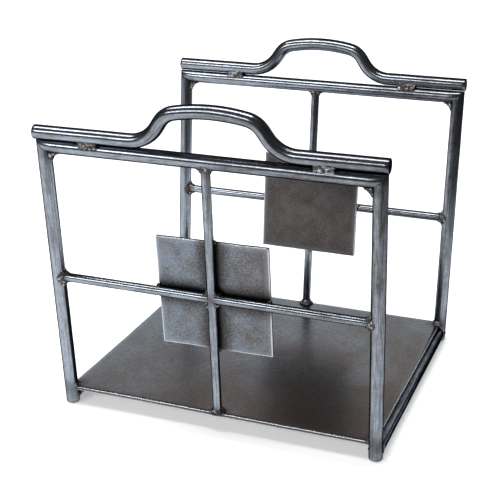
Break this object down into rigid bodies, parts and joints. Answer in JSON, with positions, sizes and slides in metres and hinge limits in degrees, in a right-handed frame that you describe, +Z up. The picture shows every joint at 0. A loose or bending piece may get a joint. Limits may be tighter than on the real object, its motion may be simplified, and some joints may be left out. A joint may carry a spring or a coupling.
{
  "type": "magazine rack",
  "caption": "Welded steel magazine rack: two outward-leaning round-bar frames with humped handle bars, thin cross bars and square sheet panels on a flat base plate.",
  "frame": {"origin": "on the floor, midway between the four feet", "axes": "+Z up; +X to the right along the frames; the front frame is at -Y and the rear frame at +Y"},
  "size_m": [0.3143, 0.3251, 0.3102],
  "materials": {
    "bar_steel": "burnished gunmetal, satin, rubbed bright along the bar",
    "thin_bar_steel": "burnished gunmetal, satin, rubbed bright along the bar",
    "sheet_steel": "dark brown-grey patina with blue-grey rubbed patches and edges",
    "weld_metal": "knobbly weld metal, dark in its hollows and burnished on its high spots"
  },
  "bodies": {
    "root": {"base_plate": "sheet_steel", "front_centre_bar": "thin_bar_steel", "front_centre_bar_foot_weld": "weld_metal", "front_centre_bar_top_weld": "weld_metal", "front_corner_welds": "weld_metal", "front_cross_bar_left": "thin_bar_steel", "front_cross_bar_right": "thin_bar_steel", "front_cross_bar_welds": "weld_metal", "front_crossing_welds": "weld_metal", "front_handle_bar": "bar_steel", "front_handle_welds": "weld_metal", "front_leg_left": "bar_steel", "front_leg_right": "bar_steel", "front_panel": "sheet_steel", "front_panel_tack_welds": "weld_metal", "front_top_rail": "bar_steel", "plate_corner_welds": "weld_metal", "plate_side_welds": "weld_metal", "rear_centre_bar": "thin_bar_steel", "rear_centre_bar_foot_weld": "weld_metal", "rear_centre_bar_top_weld": "weld_metal", "rear_corner_welds": "weld_metal", "rear_cross_bar_left": "thin_bar_steel", "rear_cross_bar_right": "thin_bar_steel", "rear_cross_bar_welds": "weld_metal", "rear_crossing_welds": "weld_metal", "rear_handle_bar": "bar_steel", "rear_handle_welds": "weld_metal", "rear_leg_left": "bar_steel", "rear_leg_right": "bar_steel", "rear_panel": "sheet_steel", "rear_panel_tack_welds": "weld_metal", "rear_top_rail": "bar_steel", "side_bar_left": "bar_steel", "side_bar_right": "bar_steel", "side_bar_welds": "weld_metal"}
  },
  "joints": []
}
